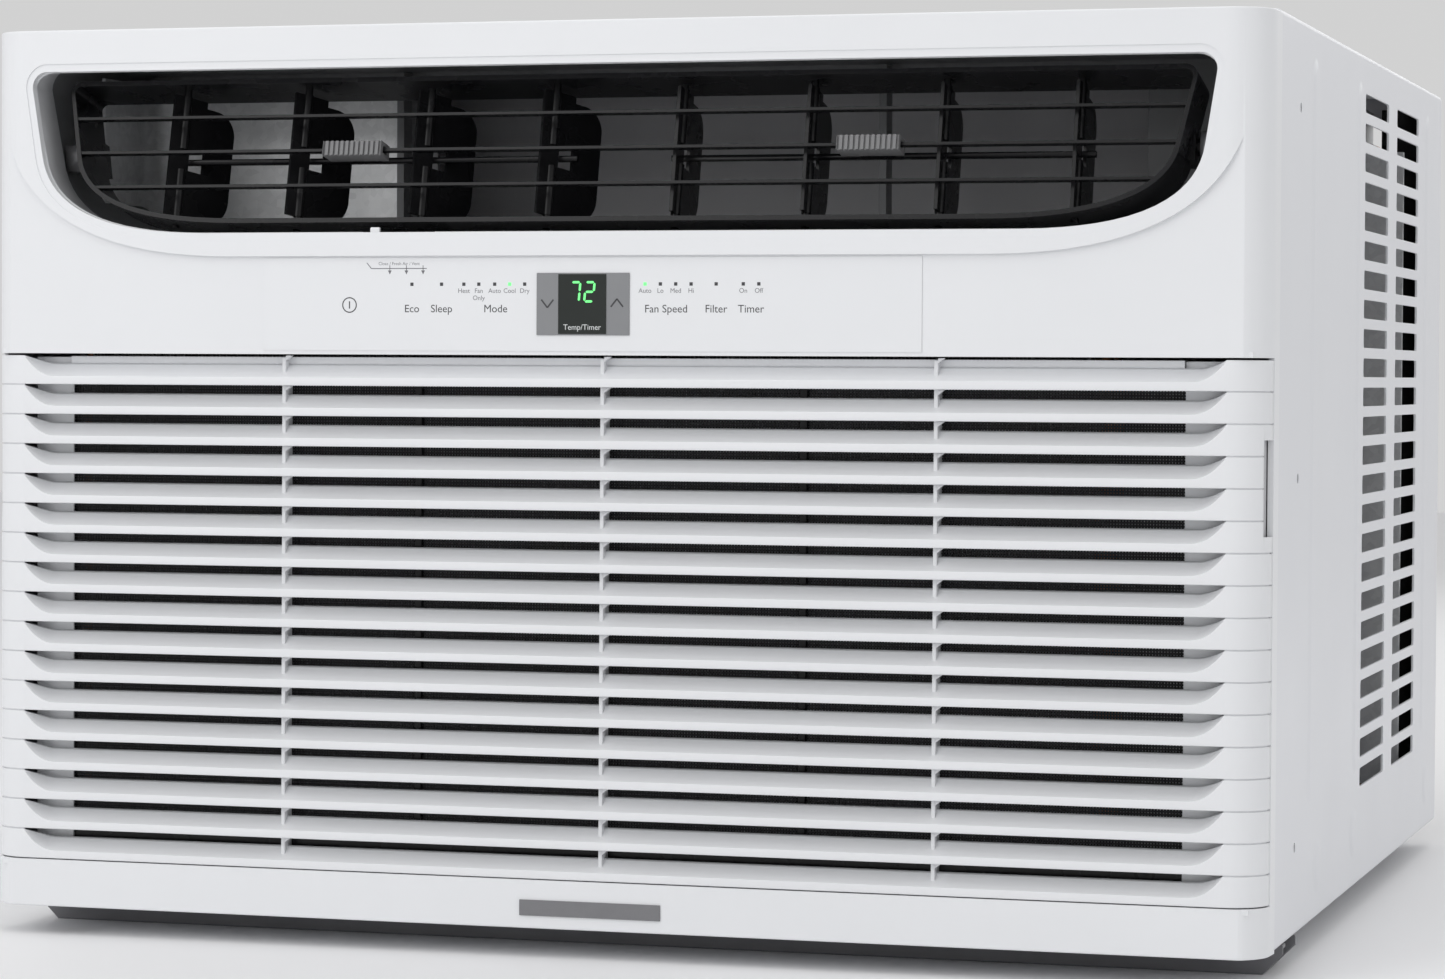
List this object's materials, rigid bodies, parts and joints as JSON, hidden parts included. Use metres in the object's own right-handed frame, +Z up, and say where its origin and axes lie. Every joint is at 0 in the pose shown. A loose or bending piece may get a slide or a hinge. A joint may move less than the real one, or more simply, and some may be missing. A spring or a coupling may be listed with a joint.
{
  "type": "window air conditioner",
  "caption": "Box-shaped window air conditioner with a slatted intake grille, a wide tilting louvre outlet, side-vented steel cabinet and a grey bottom rail.",
  "frame": {"origin": "centre of the bottom of the whole unit, level with the underside of the bottom rail", "axes": "+X to the right seen from the room, -Y towards the room, +Z up"},
  "size_m": [0.673, 0.673, 0.473],
  "materials": {
    "white_plastic": "fine satin moulded ABS",
    "white_steel": "powder coated sheet steel",
    "grey_steel": "grey powder coat",
    "black_plastic": "black moulded plastic",
    "grip_plastic": "ribbed grey plastic",
    "duct_plastic": "dark grey moulded plastic",
    "galvanised": "galvanised sheet",
    "fin_stock": "thin pressed fins",
    "copper": "drawn copper tube",
    "filter_net": "woven plastic net",
    "overlay_film": "printed satin film",
    "display_grey": "grey printed surround",
    "display_glass": "dark display lens",
    "badge_grey": "plain raised bar",
    "bush_plastic": "grey acetal",
    "screw_steel": "zinc plated",
    "shaft_steel": "ground steel",
    "motor_steel": "black enamel",
    "compressor_paint": "black paint",
    "rubber": "moulded rubber",
    "fan_plastic": "glass filled plastic",
    "board_green": "circuit board",
    "capacitor_can": "drawn can",
    "heater_sheath": "heat tinted sheath"
  },
  "bodies": {
    "unit": {"cabinet": "white_steel", "cabinet_screws": "screw_steel", "bottom_rail": "grey_steel", "base_pan": "galvanised", "front_bezel": "white_plastic", "grille_pins": "bush_plastic", "pivot_bushes": "bush_plastic", "outlet_duct": "duct_plastic", "heater_shield": "galvanised", "control_overlay": "overlay_film", "display_frame": "display_grey", "display_window": "display_glass", "badge_plate": "badge_grey", "drain_pan": "duct_plastic", "evaporator_fins": "fin_stock", "evaporator_bends": "copper", "condenser_fins": "fin_stock", "condenser_bends": "copper", "condenser_shroud": "galvanised", "bulkhead": "galvanised", "blower_scroll": "duct_plastic", "fan_motor": "motor_steel", "motor_bracket": "galvanised", "compressor": "compressor_paint", "compressor_plate": "compressor_paint", "compressor_grommets": "rubber", "accumulator": "compressor_paint", "discharge_line": "copper", "suction_line": "copper", "control_box": "galvanised", "control_box_lid": "galvanised", "run_capacitor": "capacitor_can", "control_board": "board_green", "vent_hinge": "galvanised", "heater_element": "heater_sheath", "cord_gland": "rubber", "rear_feet": "rubber", "side_seals": "rubber"},
    "louvre": {"louvre_frame": "black_plastic"},
    "left_slider": {"left_link": "black_plastic", "left_grip": "grip_plastic"},
    "right_slider": {"right_link": "black_plastic", "right_grip": "grip_plastic"},
    "grille": {"intake_grille": "white_plastic", "filter_frame": "black_plastic", "filter_mesh": "filter_net"},
    "fan_rotor": {"fan_shaft": "shaft_steel", "blower_wheel": "fan_plastic", "condenser_fan": "fan_plastic"},
    "vent_slider": {"vent_lever": "white_plastic"},
    "vent_flap": {"vent_door": "galvanised"},
    "vane_1": {"vane_1": "black_plastic"},
    "vane_2": {"vane_2": "black_plastic"},
    "vane_3": {"vane_3": "black_plastic"},
    "vane_4": {"vane_4": "black_plastic"},
    "vane_5": {"vane_5": "black_plastic"},
    "vane_6": {"vane_6": "black_plastic"},
    "vane_7": {"vane_7": "black_plastic"},
    "vane_8": {"vane_8": "black_plastic"}
  },
  "joints": [
    {"name": "louvre_tilt", "type": "hinge", "parent": "unit", "child": "louvre", "pos_m": [0, -0.2915, 0.407], "axis": [1, 0, 0], "range_deg": [-7, 13]},
    {"name": "left_vanes", "type": "slide", "parent": "louvre", "child": "left_slider", "axis": [1, 0, 0], "range_m": [-0.0094, 0.0003]},
    {"name": "right_vanes", "type": "slide", "parent": "louvre", "child": "right_slider", "axis": [1, 0, 0], "range_m": [-0.0051, 0.0046]},
    {"name": "vane_1_turn", "type": "hinge", "parent": "louvre", "child": "vane_1", "pos_m": [-0.238, -0.30932, 0.40537], "axis": [0, 0.225, 0.9744], "range_deg": [-2.5, 68]},
    {"name": "vane_2_turn", "type": "hinge", "parent": "louvre", "child": "vane_2", "pos_m": [-0.17, -0.30932, 0.40537], "axis": [0, 0.225, 0.9744], "range_deg": [-2.5, 68]},
    {"name": "vane_3_turn", "type": "hinge", "parent": "louvre", "child": "vane_3", "pos_m": [-0.102, -0.30932, 0.40537], "axis": [0, 0.225, 0.9744], "range_deg": [-2.5, 68]},
    {"name": "vane_4_turn", "type": "hinge", "parent": "louvre", "child": "vane_4", "pos_m": [-0.034, -0.30932, 0.40537], "axis": [0, 0.225, 0.9744], "range_deg": [-2.5, 68]},
    {"name": "vane_5_turn", "type": "hinge", "parent": "louvre", "child": "vane_5", "pos_m": [0.034, -0.30932, 0.40537], "axis": [0, 0.225, 0.9744], "range_deg": [-33, 37]},
    {"name": "vane_6_turn", "type": "hinge", "parent": "louvre", "child": "vane_6", "pos_m": [0.102, -0.30932, 0.40537], "axis": [0, 0.225, 0.9744], "range_deg": [-33, 37]},
    {"name": "vane_7_turn", "type": "hinge", "parent": "louvre", "child": "vane_7", "pos_m": [0.17, -0.30932, 0.40537], "axis": [0, 0.225, 0.9744], "range_deg": [-33, 37]},
    {"name": "vane_8_turn", "type": "hinge", "parent": "louvre", "child": "vane_8", "pos_m": [0.238, -0.30932, 0.40537], "axis": [0, 0.225, 0.9744], "range_deg": [-33, 37]},
    {"name": "grille_tilt", "type": "hinge", "parent": "unit", "child": "grille", "pos_m": [0, -0.3315, 0.043], "axis": [1, 0, 0], "range_deg": [0, 30]},
    {"name": "fan_spin", "type": "hinge", "parent": "unit", "child": "fan_rotor", "pos_m": [0, 0, 0.212], "axis": [0, 1, 0], "continuous": true},
    {"name": "vent_lever_slide", "type": "slide", "parent": "unit", "child": "vent_slider", "axis": [1, 0, 0], "range_m": [0, 0.026]},
    {"name": "vent_door_swing", "type": "hinge", "parent": "unit", "child": "vent_flap", "pos_m": [-0.2332, -0.1134, 0.31], "axis": [0, 0, 1], "range_deg": [-40, 0]}
  ],
  "couplings": [
    {"joint": "vane_1_turn", "follows": "left_vanes", "rad_per_m": -125},
    {"joint": "vane_2_turn", "follows": "left_vanes", "rad_per_m": -125},
    {"joint": "vane_3_turn", "follows": "left_vanes", "rad_per_m": -125},
    {"joint": "vane_4_turn", "follows": "left_vanes", "rad_per_m": -125},
    {"joint": "vane_5_turn", "follows": "right_vanes", "rad_per_m": -125},
    {"joint": "vane_6_turn", "follows": "right_vanes", "rad_per_m": -125},
    {"joint": "vane_7_turn", "follows": "right_vanes", "rad_per_m": -125},
    {"joint": "vane_8_turn", "follows": "right_vanes", "rad_per_m": -125},
    {"joint": "vent_door_swing", "follows": "vent_lever_slide", "rad_per_m": -24}
  ]
}
